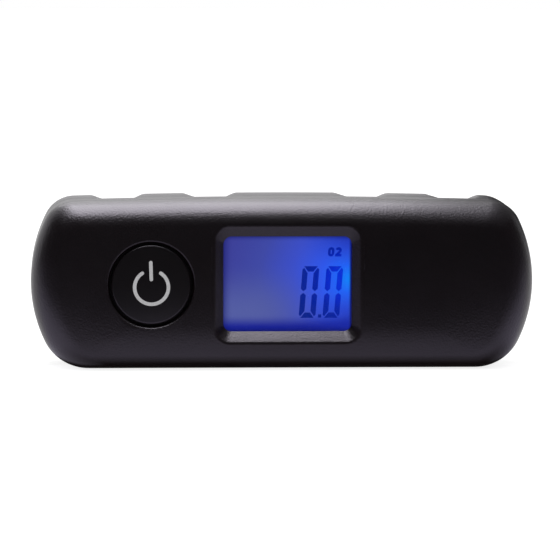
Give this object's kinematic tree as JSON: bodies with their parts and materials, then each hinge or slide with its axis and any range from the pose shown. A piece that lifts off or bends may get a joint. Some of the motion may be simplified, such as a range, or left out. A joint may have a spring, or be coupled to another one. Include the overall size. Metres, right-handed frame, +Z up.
{
  "type": "digital luggage scale",
  "caption": "Handle-shaped hanging scale with a lit display, a round power button, finger grooves, a bending-beam load cell and a swinging wire loop for the strap.",
  "frame": {"origin": "middle of the flat base, under the middle of the body's width and depth", "axes": "+X to the right of the face, -Y out of the front face, +Z up from the base"},
  "size_m": [0.135, 0.0395, 0.0461],
  "materials": {
    "black_abs": "moulded, fine satin grain",
    "clear_acrylic": "clear, polished",
    "foam": "closed-cell foam",
    "lcd_glass": "lit LCD glass",
    "light_guide_acrylic": "clear moulded, frosted back",
    "led_resin": "LED package",
    "elastomer": "striped conductive elastomer",
    "white_abs": "moulded",
    "board_laminate": "solder mask on glass laminate",
    "black_epoxy": "potted",
    "capacitor_can": "sleeved can",
    "zinc_steel": "zinc plated",
    "switch_plastic": "moulded",
    "grey_nylon": "moulded",
    "beam_aluminium": "machined",
    "gauge_foil": "foil on a polyimide carrier, coated",
    "grey_pvc": "extruded",
    "plated_steel": "nickel plated",
    "cell_steel": "stamped",
    "contact_bronze": "stamped strip",
    "red_pvc": "extruded",
    "black_pvc": "extruded"
  },
  "bodies": {
    "body": {"front_shell": "black_abs", "rear_shell": "black_abs", "display_window": "clear_acrylic", "window_gasket": "foam", "lcd_panel": "lcd_glass", "light_guide": "light_guide_acrylic", "backlight_led": "led_resin", "zebra_strip": "elastomer", "lcd_frame": "white_abs", "circuit_board": "board_laminate", "controller_blob": "black_epoxy", "board_capacitors": "capacitor_can", "board_screws": "zinc_steel", "switch_body": "switch_plastic", "load_cell": "beam_aluminium", "strain_gauges": "gauge_foil", "load_cell_screws": "zinc_steel", "load_cell_cable": "grey_pvc", "load_eye": "plated_steel", "eye_washer": "zinc_steel", "eye_nut": "zinc_steel", "battery_cell": "cell_steel", "contact_positive": "contact_bronze", "contact_negative": "contact_bronze", "lead_positive": "red_pvc", "lead_negative": "black_pvc", "case_screws": "zinc_steel"},
    "button": {"power_button": "black_abs"},
    "plunger": {"switch_plunger": "grey_nylon"},
    "loop": {"strap_loop": "plated_steel"},
    "door": {"battery_door": "black_abs"}
  },
  "joints": [
    {"name": "power_button_press", "type": "slide", "parent": "body", "child": "button", "axis": [0, 1, 0], "range_m": [0, 0.0006], "stiffness_N_per_m": 1500},
    {"name": "switch_plunger_press", "type": "slide", "parent": "body", "child": "plunger", "axis": [0, 1, 0], "range_m": [0, 0.0006]},
    {"name": "strap_loop_swing", "type": "hinge", "parent": "body", "child": "loop", "pos_m": [0, 0.019, 0.0231], "axis": [1, 0, 0], "range_deg": [0, 180]},
    {"name": "battery_door_turn", "type": "hinge", "parent": "body", "child": "door", "pos_m": [-0.033, 0.0158, 0.0231], "axis": [0, 1, 0], "range_deg": [0, 35]}
  ],
  "couplings": [
    {"joint": "switch_plunger_press", "follows": "power_button_press", "ratio": 1}
  ]
}
